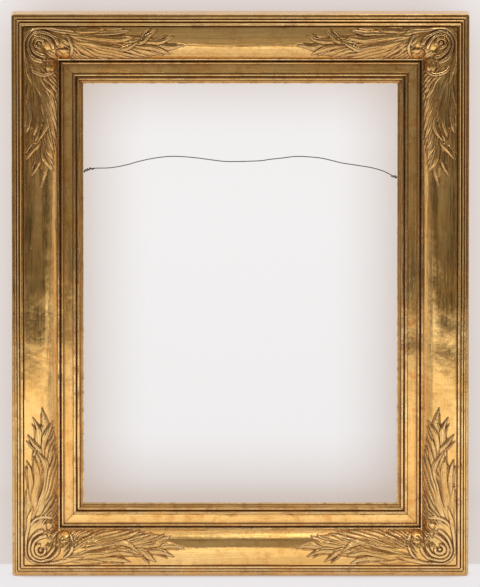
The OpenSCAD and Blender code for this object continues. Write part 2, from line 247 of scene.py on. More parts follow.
def gilding(name, along, tone=0.35, gloss=0.17, warmth=0.0, most_dirt=0.9):
    """Burnished gold leaf over red clay. along is the axis that the burnisher's strokes follow, tone is how
    mottled the leaf is, gloss its roughness, warmth how red it is, and most_dirt how dark its hollows are.
    The mesh says where the gilding is darkened with dirt and painted shade (cavity), and where it is worn and
    paled with a painted highlight (wear_and_highlight)."""
    n = Nodes(bpy.data.materials.new(name))
    here = n.place()
    stretched = n.place(scale=(STRETCH, 1, 1) if along == "X" else (1, 1, STRETCH))
    cloud = n.noise(here, 14.0, 4.0)
    mottle = n.noise(here, 90.0, 3.0, 0.6)
    speck = n.noise(here, 620.0, 2.0, 0.7)
    streak = n.noise(stretched, 420.0, 3.0, 0.65)
    broad_streak = n.noise(stretched, 110.0, 2.0, 0.5)
    cavity = n.attribute("cavity")
    wear_and_highlight = n.attribute("wear_and_highlight")

    # Leaf: clouded, mottled, darker where two sheets lap, pale with a painted highlight where worn, and deep
    # with painted shade and dirt beside the hollows
    colour = n.mix(n.span(cloud, 0.35, 0.68), GOLD_LIGHT, GOLD_MID)
    colour = n.mix(warmth, colour, GOLD_WARM)
    colour = n.mix(n.math("MULTIPLY", n.span(mottle, 0.5, 0.72), tone), colour, GOLD_WARM)
    lap = n.span(n.cell_edge(here, 1 / LEAF_SHEET), 0.0, 0.012, 0.35, 0.0)
    colour = n.mix(lap, colour, GOLD_WARM)
    colour = n.mix(n.span(wear_and_highlight, 0.10, 0.65, 0.0, 0.75), colour, GOLD_PALE_HIGHLIGHT)
    colour = n.mix(n.span(cavity, 0.08, 0.6, 0.0, 0.6), colour, GOLD_DEEP)

    # The clay shows where the leaf is worn through, and old dirt and painted shade fill the hollows
    patchy = n.span(n.math("ADD", n.math("MULTIPLY", speck, 0.45), mottle), 0.70, 0.92, 0.0, 0.8)
    worn = n.math("MULTIPLY", patchy, n.span(wear_and_highlight, 0.0, 1.0, 0.05, 1.0))
    colour = n.mix(worn, colour, BOLE)
    dirt_and_shade_edge = n.math("MULTIPLY", cavity, n.span(speck, 0.3, 0.7, 0.75, 1.1))
    colour = n.mix(n.math("MINIMUM", dirt_and_shade_edge, most_dirt), colour, PATINA_AND_SHADE)

    dull = n.math("MAXIMUM", worn, cavity)
    stroke_rough = n.span(streak, 0.3, 0.7, gloss - 0.05, gloss + 0.08)
    rough = n.math("ADD", stroke_rough, n.span(cloud, 0.3, 0.7, -0.03, 0.05))
    rough = n.math("ADD", rough, n.math("MULTIPLY", dull, 0.32))
    normal = n.bump(streak, 0.22, 0.0006)
    normal = n.bump(broad_streak, 0.45, 0.0015, normal)
    normal = n.bump(cloud, 0.35, 0.004, normal)
    normal = n.bump(speck, 0.10, 0.0004, normal)
    metal = n.math("SUBTRACT", 1.0, n.math("MULTIPLY", dull, 0.55))
    return n.finish(colour, rough, normal, metal)


def bare_wood(name, along, dark=0.0):
    """Old wood with the grain along one axis. dark is 0 for bare wood and 1 for the darkest stain."""
    n = Nodes(bpy.data.materials.new(name))
    where = n.place(scale=(0.05, 1, 1) if along == "X" else (1, 1, 0.05))
    bands = n.noise(where, 60.0, 4.0, 0.6, 0.6)
    fibre = n.noise(where, 700.0, 3.0, 0.7)
    cloud = n.noise(n.place(), 9.0, 4.0)
    light = srgb(176 - 40 * dark, 132 - 38 * dark, 88 - 30 * dark)
    brown = srgb(122 - 30 * dark, 82 - 24 * dark, 48 - 16 * dark)
    grime = srgb(70, 50, 34)
    colour = n.mix(n.span(bands, 0.35, 0.65), light, brown)
    colour = n.mix(n.span(fibre, 0.55, 0.75, 0.0, 0.5), colour, grime)
    colour = n.mix(n.span(cloud, 0.5, 0.75, 0.0, 0.45), colour, grime)
    rough = n.span(fibre, 0.3, 0.7, 0.62, 0.8)
    normal = n.bump(fibre, 0.35, 0.0008)
    normal = n.bump(bands, 0.2, 0.001, normal)
    return n.finish(colour, rough, normal)


def drawn_metal(name, shade, rough_from, rough_to, rust=0.25):
    """Drawn wire metal, clouded, with specks of rust."""
    n = Nodes(bpy.data.materials.new(name))
    here = n.place()
    cloud = n.noise(here, 60.0, 4.0)
    speck = n.noise(here, 900.0, 3.0, 0.7)
    colour = n.mix(n.span(cloud, 0.3, 0.7, 0.0, 0.5), shade, tuple(c * 0.6 for c in shade))
    spots = n.math("MULTIPLY", n.span(speck, 0.56, 0.68), rust)
    colour = n.mix(spots, colour, srgb(110, 62, 34))
    rough = n.span(speck, 0.3, 0.7, rough_from, rough_to)
    metal = n.math("SUBTRACT", 1.0, spots)
    return n.finish(colour, rough, n.bump(speck, 0.2, 0.0002), metal)


def each_way(make, name, **looks):
    """One material for each direction of the grain or of the strokes."""
    return {axis: make(name + "_" + axis.lower(), axis, **looks) for axis in "XZ"}


GILDING = each_way(gilding, "gilding")
LINER_GILDING = each_way(gilding, "liner_gilding", tone=0.8, gloss=0.22, warmth=0.12, most_dirt=0.82)
WOOD = each_way(bare_wood, "wood")
LINER_WOOD = each_way(bare_wood, "liner_wood", dark=0.5)
KEY_WOOD = bare_wood("key_wood", "X", dark=0.9)
WIRE_METAL = drawn_metal("wire_metal", srgb(128, 126, 122), 0.3, 0.5)
EYE_METAL = drawn_metal("eye_metal", srgb(186, 164, 112), 0.28, 0.45, rust=0.4)
BRAD_METAL = drawn_metal("brad_metal", srgb(150, 146, 140), 0.35, 0.55, rust=0.5)


# Shared shapes

def panel_at(d):
    """Height of the crowned panel at a distance in from the frame's outer side."""
    share = np.clip((np.asarray(d, float) - BORDER_W) / (PANEL_END - BORDER_W), 0, 1)
    return PANEL_HIGH + (PANEL_LOW - PANEL_HIGH) * share ** PANEL_BEND


def wave_terms(seed, count, longest, shortest):
    """Directions, phases and lengths of a set of random waves over the frame's face."""
    rng = np.random.default_rng(seed)
    length = np.exp(rng.uniform(np.log(shortest), np.log(longest), count))
    heading = rng.uniform(0, 2 * np.pi, count)
    phase = rng.uniform(0, 2 * np.pi, count)
    return 2 * np.pi / length * np.cos(heading), 2 * np.pi / length * np.sin(heading), phase, length


HAND_WAVES = wave_terms(seed=11, count=26, longest=190.0, shortest=26.0)
WAVE_STEEPNESS = 0.0011


def hand_wave(x, z):
    """The slight unevenness of hand-laid gesso, in millimetres, at a place on the frame's face."""
    x, z = np.asarray(x, float), np.asarray(z, float)
    total = np.zeros(np.broadcast(x, z).shape)
    for a, b, p, length in zip(*HAND_WAVES):
        total += WAVE_STEEPNESS * length * np.sin(a * x + b * z + p) / 2
    return total


def side_place(side, along, d, t):
    """Frame place, in millimetres, of a point on side 0 bottom, 1 right, 2 top or 3 left."""
    reach = FRAME_H / 2 if side % 2 == 0 else FRAME_W / 2
    a, b = along, d - reach
    x, z = ((a, b), (-b, a), (-a, -b), (b, -a))[side]
    return np.stack([x + 0 * t, BACK_Y - t, z + FRAME_H / 2 + 0 * t], axis=-1)


def new_object(name, verts, faces, materials, body, face_materials=None, layers=(), sharp=38.0):
    """A mesh piece from points in millimetres, with outward faces, that rides on a body."""
    mesh = bpy.data.meshes.new(name)
    mesh.from_pydata((np.asarray(verts) * MM).tolist(), [], faces)
    for material in materials:
        mesh.materials.append(material)
    if face_materials is not None:
        mesh.polygons.foreach_set("material_index", np.asarray(face_materials, np.int32))
    for key, values in dict(layers).items():
        layer = mesh.attributes.new(key, "FLOAT", "POINT")
        layer.data.foreach_set("value", np.asarray(values, np.float32))
    mesh.shade_smooth()
    mesh.set_sharp_from_angle(angle=math.radians(sharp))
    mesh.update()
    obj = bpy.data.objects.new(name, mesh)
    bpy.context.scene.collection.objects.link(obj)
    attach(obj, body)
    return obj


def tube_faces(rings, sides):
    """Faces along rings of points, and one over each end."""
    faces = []
    for ring in range(rings - 1):
        here, there = ring * sides, (ring + 1) * sides
        for j in range(sides):
            k = (j + 1) % sides
            faces.append((here + j, here + k, there + k, there + j))
    faces.append(tuple(range(sides - 1, -1, -1)))
    faces.append(tuple(range((rings - 1) * sides, rings * sides)))
    return faces


def bow(start, end, rise, count=10):
    """Points of a round hump from one place to another."""
    start, end = np.array(start, float), np.array(end, float)
    step = end - start
    normal = np.array([-step[1], step[0]]) / np.hypot(*step)
    return [tuple(start + step * s + normal * 4 * rise * s * (1 - s)) for s in np.linspace(0, 1, count)]


# The hanging wire

EYE_Y = BACK_Y - EYE_T
EYE_X = FRAME_W / 2 - EYE_INSET
LOOP_R = EYE_WIRE_D / 2 + WIRE_D / 2 + 0.7
WRAP_TURNS = 15
WRAP_START = 0.35
COIL_R = WIRE_D + 0.1
COIL_STEPS = 24

# The wire's route between its wrapped ends: across from the middle, height above the screw eyes
WIRE_ROUTE = [
    (-271, 7), (-262, 11), (-250, 16), (-236, 23), (-222, 29), (-210, 33), (-184, 34), (-162, 38),
    (-144, 43), (-126, 47), (-104, 50), (-84, 50), (-61, 48), (-39, 45), (-21, 43), (0, 43),
    (28, 44), (42, 46), (60, 48), (76, 50), (90, 50), (113, 48), (131, 44), (143, 41),
    (162, 38), (186, 34), (203, 29), (217, 22), (230, 18), (245, 14), (258, 10.5), (271, 7)]


def spline_at(points, i, s):
    """A place on the smooth curve through the points, a share s of the way on from point i."""
    last = len(points) - 1
    a, b, c, d = (points[min(max(k, 0), last)] for k in (i - 1, i, i + 1, i + 2))
    return 0.5 * (2 * b + (c - a) * s + (2 * a - 5 * b + 4 * c - d) * s * s
                  + (3 * b - a - 3 * c + d) * s ** 3)


def spline(points, spacing):
    """The smooth curve through control points, its samples about a spacing apart."""
    points = np.asarray(points, float)
    out = []
    for i in range(len(points) - 1):
        steps = max(2, math.ceil(np.linalg.norm((points[i + 1] - points[i])[:2]) / spacing))
        out += [spline_at(points, i, k / steps) for k in range(steps)]
    return np.array(out + [points[-1]])


def strand_tube(name, path, diameter, lobes=5, lay=6.5, sides=20):
    """A tube whose section has one lobe for each strand and turns along its path, like laid wire."""
    path = np.asarray(path, float)
    along = np.gradient(path, axis=0)
    along /= np.linalg.norm(along, axis=1)[:, None]
    gone = np.concatenate([[0], np.cumsum(np.linalg.norm(np.diff(path, axis=0), axis=1))])
    side = np.array([0.0, 1.0, 0.0])
    angle = 2 * np.pi * np.arange(sides) / sides
    radius = diameter / 2 * (0.86 + 0.14 * np.abs(np.cos(lobes * angle / 2)))
    rings = []
    for p, t, s in zip(path, along, gone):
        side = side - side.dot(t) * t
        side /= np.linalg.norm(side)
        turned = angle + 2 * np.pi * s / lay
        other = np.cross(t, side)
        outward = np.cos(turned)[:, None] * side + np.sin(turned)[:, None] * other
        rings.append(p + radius[:, None] * outward)
    faces = tube_faces(len(path), sides)
    return new_object(name, np.concatenate(rings), faces, [WIRE_METAL], "wire", sharp=80.0)


def at_eyes(points):
    """Frame places of points given as (across, height above the eyes, depth towards the wall)."""
    points = np.asarray(points, float)
    return np.stack([points[:, 0], EYE_Y + points[:, 2], EYE_Z + points[:, 1]], axis=1)


def wrap_path(route, reach):
    """The left wire end: on from the wire, round the top of the eye's ring, and back in a coil over the wire,
    as far as the route's point number reach."""
    end = route[0]
    top = np.array([-EYE_X, EYE_RING_R + LOOP_R, 0])
    loop = spline([end, end - (WIRE_D, 0, 0), end - (6, -0.2, 0), top, (-EYE_X - LOOP_R, EYE_RING_R, 0),
                   (-EYE_X, EYE_RING_R - LOOP_R, 0), (-EYE_X + 4, 3.2, 0), (-EYE_X + 9, 4.3, 0)], 0.7)
    coil = []
    steps = WRAP_TURNS * COIL_STEPS
    for i in range(steps + 1):
        u = WRAP_START + (reach - WRAP_START) * i / steps
        k = min(int(u), reach - 1)
        centre = spline_at(route, k, u - k)
        ahead = spline_at(route, k, u - k + 0.01) - centre
        ahead /= np.linalg.norm(ahead)
        above = np.array([-ahead[1], ahead[0], 0])
        a = -math.pi / 2 + 2 * math.pi * i / COIL_STEPS
        coil.append(centre + COIL_R * (math.sin(a) * above + math.cos(a) * np.array([0, 0, 1])))
    tail = [coil[-1] + (WIRE_D, 0.6, 0.4), coil[-1] + (2 * WIRE_D, 1.4, 0.8)]
    return np.concatenate([loop, coil, tail])


route = np.array([(x, h, 0.0) for x, h in WIRE_ROUTE])
wire_line = at_eyes(spline(route, 0.8))
wire = strand_tube("hanging_wire_laid", wire_line, WIRE_D)
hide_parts("hanging_wire")
for word, flip, reach in (("left", 1, 5), ("right", -1, 4)):
    this_way = route[::flip] * (flip, 1, 1)
    path = at_eyes(wrap_path(this_way, reach) * (flip, 1, 1))
    wrap = strand_tube("wire_wrap_%s_laid" % word, path, WIRE_D, lay=5.0, sides=12)
    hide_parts("wire_wrap_" + word)


# Mouldings

# The carving reaches this far from the corner, and the panel is sunk under it, so that only the carving shows
CARVED_END = 255.0
SUNK = 1.3
SUNK_END = CARVED_END - 8
SUNK_RUN = 4

# A length of moulding has more sections near its ends, where the corner is rounded
END_RUN = 8.0
END_SECTIONS = 15
MIDDLE_SECTIONS = 201

# The reeds' steps, and where each reed ends
STEP_H = (PANEL_HIGH - SIDE_H) / 3
STEP_1 = SIDE_H + STEP_H
STEP_2 = SIDE_H + 2 * STEP_H
REED_BOUNDS = [0.24 * BORDER_W, 0.43 * BORDER_W, 0.67 * BORDER_W, 0.945 * BORDER_W]


class Section:
    """A moulding's section: points (d, t), how dark each is with dirt and painted shade, how pale with wear
    and a painted highlight, and how many are gilded.
    """

    def __init__(self):
        self.points, self.dirt, self.wear_and_highlight = [], [], []
        self.gilded = None

    def put(self, new, dirt=0.0, wear_and_highlight=0.0):
        """Add points. dirt and wear_and_highlight are numbers, or functions of a point's number among the n
        new ones.
        """
        for i, point in enumerate(new):
            self.points.append(point)
            self.dirt.append(dirt(i, len(new)) if callable(dirt) else dirt)
            self.wear_and_highlight.append(wear_and_highlight(i, len(new)) if callable(wear_and_highlight) else wear_and_highlight)

    def end_gilding(self):
        self.gilded = len(self.points)


def dirt_and_shade_ends(most, sharpness):
    """Dirt and painted shade at both ends of a hump."""
    return lambda i, n: most * abs(2 * i / (n - 1) - 1) ** sharpness


def worn_and_lit_top(most):
    """Wear and a painted highlight on top of a hump."""
    return lambda i, n: most * (1 - abs(2 * i / (n - 1) - 1)) ** 2


def rail_section():
    """The outer rail, from its back edge over the side, the reeds and the panel to the rabbet and back."""
    section = Section()
    put = section.put
    reed = dirt_and_shade_ends(0.6, 9), worn_and_lit_top(0.75)
    lip, reed_1, reed_2, reed_3 = REED_BOUNDS

    # The side and its rounded lip, both a little darkened with painted shade, the lip pale on top with wear
    # and a painted highlight
    put([(0.0, t) for t in np.linspace(0.3, SIDE_H - 2.4, 9)], 0.1, lambda i, n: 0.3 * (i == n - 1))
    put(bow((0.0, SIDE_H - 1.9), (lip - 0.5, SIDE_H - 0.4), 0.75), 0.2, worn_and_lit_top(0.75))

    # Three reeds, each a step higher, with a groove before each; the grooves and the reeds' ends dark with
    # dirt and painted shade, the reeds' tops pale with wear and a painted highlight
    put([(lip - 0.2, SIDE_H - 0.5)], 0.9)
    put(bow((lip + 0.3, STEP_1 - 2.3), (reed_1 - 0.3, STEP_1 - 1.8), 1.1), *reed)
    put([(reed_1 + 0.05, STEP_1 - 2.4)], 0.95)
    put(bow((reed_1 + 0.4, STEP_2 - 2.8), (reed_2 - 0.3, STEP_2 - 2.2), 1.5), *reed)
    put([(reed_2 + 0.05, STEP_2 - 2.8)], 0.95)
    put(bow((reed_2 + 0.4, PANEL_HIGH - 2.4), (reed_3, PANEL_HIGH - 2.0), 1.85, 14), *reed)

    # A quirk, dark with dirt and painted shade, then the panel, which is darker next to the quirk with dirt
    # and painted shade, and paler near its inner edge with wear and a painted highlight
    put([(reed_3 + 0.35, PANEL_HIGH - 2.4), (BORDER_W - 0.25, PANEL_HIGH - 1.5)], 0.7)
    panel = [(d, float(panel_at(d))) for d in BORDER_W + (PANEL_END - BORDER_W) * np.linspace(0, 1, 50)]
    put(panel, lambda i, n: 0.5 * np.exp(-i / 1.2), lambda i, n: 0.08 + 0.3 * np.exp(-(n - 1 - i) / 1.0))

    # The inner arris, pale with wear and a painted highlight, and the edge below it, dark with painted shade
    # where it faces the liner
    put(bow((PANEL_END + 0.3, PANEL_LOW - 0.1), (RAIL_W, PANEL_LOW - ARRIS_R), 0.4, 5), 0.0, 0.6)
    put([(RAIL_W, t) for t in np.linspace(PANEL_LOW - 2.8, SEAT_H + 0.5, 4)], 0.75)
    section.end_gilding()

    # Bare wood: the rabbet, and the back to the outer side
    put([(RAIL_W - 0.6, SEAT_H), (RABBET_D, SEAT_H), (RABBET_D, 0.8), (RABBET_D - 0.8, 0.0)])
    put([(d, 0.0) for d in np.linspace(RABBET_D - 6, 6, 8)])
    put([(0.8, 0.0)])
    return section


def liner_section():
    """The liner, from its flange under the rail to its sight edge, and round the back."""
    section = Section()
    put = section.put
    ends, crest = dirt_and_shade_ends(0.8, 4), worn_and_lit_top(0.6)
    start = RABBET_D + LINER_GAP
    bead = RAIL_W + 2.0
    cove_h, bead_h = SEAT_H + 0.8, SEAT_H + 5.2
    fillet, band, slope = SIGHT_D - 15.4, SIGHT_D - 10.6, SIGHT_D - 5.4

    # The flange under the rail, dark with painted shade, and the bead beside it, dark at its ends with dirt
    # and painted shade and pale on its crest with wear and a painted highlight
    put([(start, SEAT_H - LINER_GAP), (bead, SEAT_H - LINER_GAP)], 1.0)
    put(bow((bead, bead_h - 2.0), (bead + 3.6, bead_h - 1.6), 1.6), ends, crest)
    put([(bead + 3.8, bead_h - 2.4)], 0.95)
    put([(bead + 4.1, cove_h + 0.2)], 0.6)

    # The nearly flat cove, darker next to the bead with dirt and painted shade, then the fillet and the band,
    # their ends and the grooves between them dark with dirt and painted shade, and their crests pale with
    # wear and a painted highlight
    cove = bow((bead + 4.5, cove_h + 0.2), (fillet - 0.4, cove_h - 0.6), 0.2, 20)
    put(cove, lambda i, n: 0.35 * np.exp(-i / 2))
    put([(fillet - 0.2, cove_h - 1.0)], 0.9)
    put(bow((fillet, cove_h), (band - 0.5, cove_h - 0.4), 0.8, 8), ends, crest)
    put([(band, cove_h - 2.4)], 1.0)
    put(bow((band + 0.6, cove_h - 1.8), (slope, cove_h - 1.8), 1.65), ends, crest)
    put([(slope + 0.35, cove_h - 2.6)], 0.9)

    # The slope down to the sight edge, lightly darkened with dirt and painted shade, and the edge itself,
    # whose rounded top is pale with wear and a painted highlight
    put(bow((slope + 0.7, cove_h - 2.3), (SIGHT_D - 1.2, LEDGE_H + 6.3), -0.4, 8), 0.3, 0.1)
    put(bow((SIGHT_D - 1.1, LEDGE_H + 6.3), (SIGHT_D, LEDGE_H + 5.0), 0.3, 5), 0.0, 0.9)
    put([(SIGHT_D, t) for t in np.linspace(LEDGE_H + 4, LEDGE_H + 0.6, 3)], 0.25, 0.1)
    section.end_gilding()

    # Bare wood: the ledge that a picture lies on, and the back
    ledge = SIGHT_D - PICTURE_COVER
    put([(SIGHT_D - 0.6, LEDGE_H), (ledge, LEDGE_H)])
    put([(ledge, LINER_BACK + 0.5), (ledge - 0.5, LINER_BACK)])
    put([(d, LINER_BACK) for d in np.linspace(ledge - 5, start + 5, 5)])
    put([(start + 0.5, LINER_BACK), (start, LINER_BACK + 0.5)])
    return section


def stations_along(half):
    """Shares of the half length at which a moulding has a section, closer together near its ends."""
    near_end = 1 - END_RUN / half
    run_in = np.linspace(near_end, 1, END_SECTIONS)
    middle = np.linspace(-near_end, near_end, MIDDLE_SECTIONS)[1:-1]
    return np.concatenate([-run_in[::-1], middle, run_in])[:, None]


def moulding(name, side, section, gilt, wood, seed):
    """One mitred length of moulding, swept along its side with a hand-finished unevenness."""
    points, dirt, wear_and_highlight = (np.array(values) for values in (section.points, section.dirt, section.wear_and_highlight))
    half = (FRAME_W if side % 2 == 0 else FRAME_H) / 2
    count = len(points)
    share = stations_along(half)
    d, t = points[None, :, 0], points[None, :, 1]
    along = share * (half - d)
    d, t = d + 0 * along, t + 0 * along

    # The outer corners are rounded
    from_end = half - np.abs(along)
    turn = math.pi / 4 * np.clip((CORNER_R - from_end) / np.maximum(CORNER_R - d, 1e-6), 0, 1)
    rounded = (d < CORNER_R) & (from_end < CORNER_R)
    radius = CORNER_R - d
    round_along = np.sign(along) * (half - CORNER_R + radius * np.sin(turn))
    place = side_place(side, np.where(rounded, round_along, along),
                       np.where(rounded, CORNER_R - radius * np.cos(turn), d), t)

    # The face is uneven, and the panel is sunk where the carving covers it
    on_face = (np.arange(count) < section.gilded) & (points[:, 1] > SEAT_H)
    uneven = hand_wave(place[..., 0], place[..., 2]) * on_face
    sunk = np.clip((SUNK_END - from_end) / SUNK_RUN, 0, 1) * (d > BORDER_W) * (d < PANEL_END)
    place[..., 1] += SUNK * sunk - uneven

    # Wear with its painted highlight, and dirt with its painted shade, come and go along the length, and dirt
    # and painted shade fill the mitres inward of the panel
    rng = np.random.default_rng(seed)
    wear = np.sin(along / rng.uniform(23, 40) + rng.uniform(0, 6)) * np.sin(along / rng.uniform(9, 15))
    wear = 0.5 + 0.5 * wear
    worn_and_lit = np.clip(wear_and_highlight[None, :] * (0.45 + 0.9 * wear), 0, 1)
    dirty_and_shaded = np.clip(dirt[None, :] * (0.75 + 0.35 * wear[:, ::-1]), 0, 1)
    mitre = np.exp(-(1 - np.abs(share)) * (half - d) / 1.1)
    dirty_and_shaded = np.maximum(dirty_and_shaded, 0.45 * mitre * (points[None, :, 0] > RAIL_W - 0.1))

    kinds = ([0] * section.gilded + [1] * (count - section.gilded)) * (len(share) - 1) + [1, 1]
    return new_object(name, place.reshape(-1, 3), tube_faces(len(share), count), [gilt, wood], "frame", kinds,
                      {"cavity": dirty_and_shaded.ravel(), "wear_and_highlight": worn_and_lit.ravel()})


SIDES = ("bottom", "right", "top", "left")
RAIL_SECTION = rail_section()
LINER_SECTION = liner_section()
RAIL_SEED = 31
LINER_SEED = 51
for side, word in enumerate(SIDES):
    axis = "XZ"[side % 2]
    rail = moulding("rail_%s_gilded" % word, side, RAIL_SECTION, GILDING[axis], WOOD[axis], RAIL_SEED + side)
    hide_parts("rail_" + word)
    liner = moulding("liner_%s_gilded" % word, side, LINER_SECTION, LINER_GILDING[axis], LINER_WOOD[axis],
                     LINER_SEED + side)
    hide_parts("liner_" + word)


# The carving at the corners, in millimetres from the frame's outer corner: along an arm and across it

# The scroll's piece ends at SCROLL_END, where the sprays begin. Each piece is a skin over the panel's width
SCROLL_END = 92.0
SKIN_FROM = BORDER_W + 0.1
SKIN_TO = PANEL_END + 0.2
SKIN_BOTTOM = PANEL_LOW - 3.0
SKIN_LIFT = 0.06
CAD_FRONT_Y = LO.y / MM
HIGHEST = BACK_Y - CAD_FRONT_Y - 0.05

# The scroll's centre and rings, its buds, and the angle of the mitre line seen from its centre
SCROLL_C = 39.5
RING_RADII = (6.4, 11.6, 16.3, 20.6)
BUD_PLACE = (56.0, 73.5)
BUD_R = 8.4
RIDGE_H = 2.9
MITRE = 225

# Strokes are lists of (along, across, half width, height). The leaves of one spray, the farthest ones first
LEAVES = [
    [(96, 30, 4, 1.2), (150, 37, 5, 2.2), (201, 42, 5.2, 2.8), (222, 46, 5, 3.2), (243.5, 42.6, 0.5, 1.2)],
    [(100, 27, 4, 1.2), (160, 34, 4.5, 2.2), (193, 37, 5, 2.6), (212, 37, 4, 2.9), (229, 29.5, 0.5, 1)],
    [(150, 40, 4, 1.6), (196, 46, 4.4, 2.6), (207, 49, 4.6, 2.8), (216, 53.5, 3.4, 2.6),
     (223.5, 58.2, 0.5, 1)],
    [(145, 43, 4, 1.6), (186, 52, 4.2, 2.4), (199, 56.4, 3, 2.4), (208.5, 58.2, 0.5, 1)],
    [(135, 43, 4, 1.6), (166, 51.5, 3.6, 2.4), (183, 56.5, 2.8, 2.4), (196.2, 61.5, 0.5, 1)],
    [(140, 33, 4, 1.6), (180, 38, 4, 2.8), (192, 30.5, 3.8, 2.9), (204.2, 21.6, 0.5, 1)],
    [(96, 25, 4, 1.4), (136, 26.3, 3.8, 2.4), (156, 24, 2.8, 2.4), (167.6, 20.8, 0.5, 1)],
    [(100, 29, 4, 1.4), (143, 34.8, 4.6, 2.6), (162, 33.4, 4, 2.8), (173.2, 32, 0.6, 1.2)],
    [(92, 36, 4, 1.4), (122, 45, 4.6, 2.8), (148, 49.7, 4.4, 3.2), (165, 46, 4, 3.4),
     (181.5, 35.5, 0.6, 1.4)],
    [(110, 46, 3.5, 1.4), (150, 54.7, 3.4, 2.2), (168, 59, 2.6, 2.2), (181, 64, 0.5, 1)],
    [(104, 47, 3.5, 1.4), (139, 57, 3, 2.2), (158, 61.5, 2.4, 2.2), (170, 64.4, 0.5, 1)],
    [(96, 47, 3.5, 1.4), (122, 57.5, 3, 2.2), (143, 62.6, 2.2, 2), (157, 64.6, 0.5, 1)],
    [(86, 22.5, 3.6, 1.2), (112, 22.6, 3, 2), (134, 21, 0.5, 1)],
    [(76, 36, 3.2, 1.4), (92, 45, 3.2, 2.2), (108, 55, 2.8, 2.2), (122, 63.4, 0.5, 1)],
    [(72, 34, 3.2, 1.4), (84, 43, 3, 2.2), (96, 54, 2.6, 2.2), (106, 63.6, 0.5, 1)]]
SPRAY_BODY = [(70, 24, 4, 2), (96, 28, 7, 2.2), (122, 32, 8, 1.9), (150, 38, 9, 1.6), (178, 43, 6, 1.2)]
BUD_CURL = [
    (25.5, 71, 1.6, 1.6), (31.5, 79.5, 2.4, 2.6), (40, 84.5, 2.8, 2.9), (50, 85.4, 2.8, 2.9),
    (58.6, 82, 2.6, 2.9), (62.4, 74.5, 2.5, 2.9), (59.4, 67, 2.4, 2.9), (52.6, 65.4, 2.2, 2.8),
    (49.4, 70.6, 1.8, 2.6), (53, 74.6, 1.4, 2.4)]
BUD_NICKS = [
    [(49.5, 66.5, 0.7, 0.2), (53.2, 68.6, 0.8, 0.8), (56.8, 71.4, 0.8, 1), (56.4, 75, 0.6, 0.6)],
    [(45.5, 75.5, 0.9, 0.6), (47.5, 78.2, 1.1, 1), (48.4, 80.4, 0.5, 0.5)],
    [(53.4, 77.6, 0.8, 0.6), (55.4, 80.2, 1.0, 1), (56.2, 82.0, 0.5, 0.5)]]


def ring_arc(radius, start, end, half_w, height, count):
    """Control points of part of a ring round the scroll's eye, between two angles in degrees."""
    return [(SCROLL_C + radius * math.cos(a), SCROLL_C + radius * math.sin(a), half_w, height)
            for a in np.radians(np.linspace(start, end, count + 1))]


# Half of each ridge that sweeps out of the scroll's rings, from the mitre line into one arm
RIDGE_HALVES = [
    ring_arc(RING_RADII[1], MITRE, 165, 2.5, 2.5, 3) + [
        (32, 50, 2.5, 2.6), (37, 54.5, 2.7, 2.7), (42, 57.5, 3, 2.8), (47.2, 59, 2.9, 2.6)],
    ring_arc(RING_RADII[2], MITRE, 165, 2.1, 2.6, 3) + [
        (27, 54, 2.4, 2.7), (31.5, 60.5, 2.8, 2.8), (36, 64, 3.2, 2.9), (41.6, 66.4, 2.9, 2.6)],
    ring_arc(RING_RADII[3], MITRE, 180, 1.7, 2.2, 3) + [
        (19.6, 52, 2.0, 2.3), (21.4, 66, 2.6, 2.5), (24.5, 82, 3.4, 2.4), (28.6, 101, 0.5, 0.8)]]


def swapped(points):
    """The same points on the other arm."""
    return [(p[1], p[0], *p[2:]) for p in points]


def smooth(field, radius):
    """A field averaged over squares of grid points."""
    size = 2 * radius + 1
    for axis in (0, 1):
        before = field.take([0] * (radius + 1), axis)
        after = field.take([-1] * radius, axis)
        total = np.cumsum(np.concatenate([before, field, after], axis), axis)
        count = total.shape[axis]
        field = (total.take(range(size, count), axis) - total.take(range(count - size), axis)) / size
    return field


# Grid lines of a corner, the same along both arms, closer together where the scroll is
AXIS = np.concatenate([np.linspace(SKIN_FROM, SKIN_TO, 77), np.linspace(SKIN_TO, SCROLL_END, 39)[1:],
                       np.linspace(SCROLL_END, CARVED_END, 252)[1:]])

# How far strokes stray from their controls, and the shape of their veins, edges and rims darkened with dirt
# and painted shade
SWAY = 0.22
REACH = 2.5
VEIN_W = 0.16
DIG_W = 0.6
DIG_DEPTH = 0.9
RIM_W = 0.42


